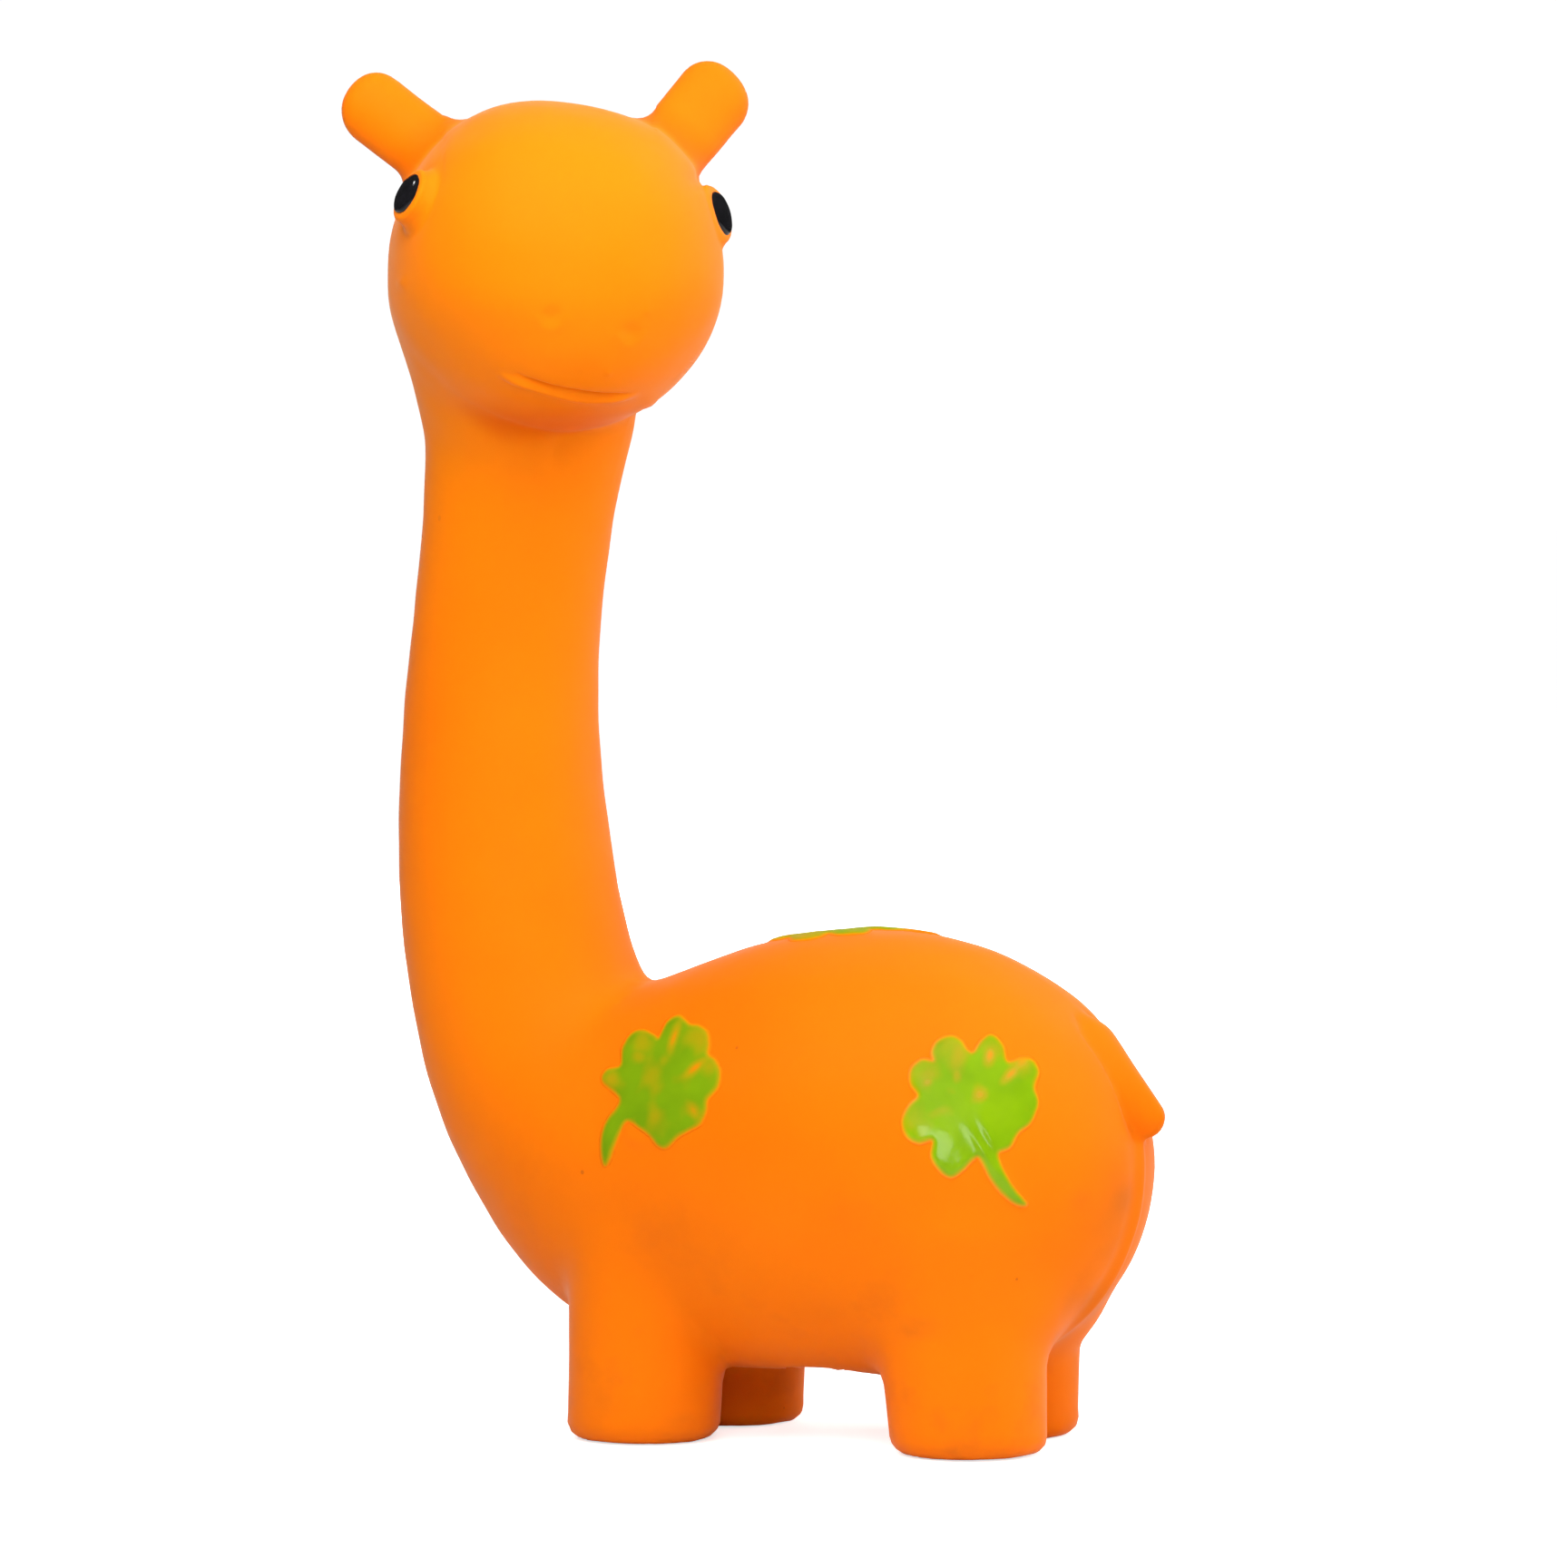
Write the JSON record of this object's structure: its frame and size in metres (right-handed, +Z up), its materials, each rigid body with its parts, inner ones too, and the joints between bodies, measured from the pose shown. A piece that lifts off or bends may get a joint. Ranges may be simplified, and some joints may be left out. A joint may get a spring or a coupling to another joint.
{
  "type": "squeaky dog toy",
  "caption": "Hollow latex squeaky toy: plump long-necked animal on stub legs, head turned to its left, enamel eyes and clovers, reed squeaker in the belly.",
  "frame": {"origin": "middle of the bounding box on the ground plane under the soles", "axes": "+Z up, +X towards the tail, -Y towards the toy's left flank, the side its head faces"},
  "size_m": [0.1104, 0.0616, 0.1798],
  "materials": {
    "latex": "satin orange natural latex, soft and slightly translucent",
    "eye_enamel": "high-gloss black enamel",
    "clover_enamel": "glossy thin leaf-green enamel",
    "squeaker_plastic": "natural white polyethylene",
    "reed_plastic": "cream polystyrene",
    "reed_film": "clear polyester film"
  },
  "bodies": {
    "toy": {"latex_skin": "latex", "eye_enamel_left": "eye_enamel", "eye_enamel_right": "eye_enamel", "clover_left_shoulder": "clover_enamel", "clover_left_rump": "clover_enamel", "clover_right_shoulder": "clover_enamel", "clover_right_rump": "clover_enamel", "clover_back": "clover_enamel", "squeaker_plug": "squeaker_plastic", "squeaker_cap": "squeaker_plastic", "reed_collar": "reed_plastic", "reed_trough": "reed_plastic"},
    "reed": {"reed_tongue": "reed_film"}
  },
  "joints": [
    {"name": "reed_flex", "type": "hinge", "parent": "toy", "child": "reed", "pos_m": [0.01054, 0.00425, 0.0141], "axis": [0, 1, 0], "range_deg": [-5, 8], "stiffness_Nm_per_rad": 0.0076}
  ]
}
